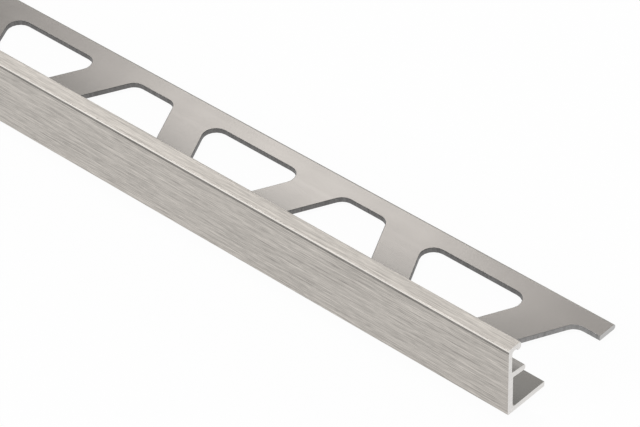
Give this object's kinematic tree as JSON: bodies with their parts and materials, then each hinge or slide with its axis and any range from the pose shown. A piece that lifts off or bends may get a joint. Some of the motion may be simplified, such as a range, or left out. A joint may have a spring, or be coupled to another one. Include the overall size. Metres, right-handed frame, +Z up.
{
  "type": "tile edge trim",
  "caption": "Straight L-shaped metal edge trim for wall and floor tiles, with a punched anchoring leg, a brushed face, a spacing rib and a thin top lip.",
  "frame": {"origin": "middle of the underside's bounding rectangle, half way along the trim and half way between its front face and the back edge of its leg", "axes": "+X along the trim, towards the sawn end that the picture shows; +Y from the visible front face to the back edge of the anchoring leg; +Z up from the leg's underside to the lip"},
  "size_m": [1, 0.027, 0.0135],
  "materials": {
    "brushed_anodised_aluminium": "nickel-coloured anodising, brushed along its length on the visible face and lip"
  },
  "bodies": {
    "root": {"edge_trim": "brushed_anodised_aluminium"}
  },
  "joints": []
}
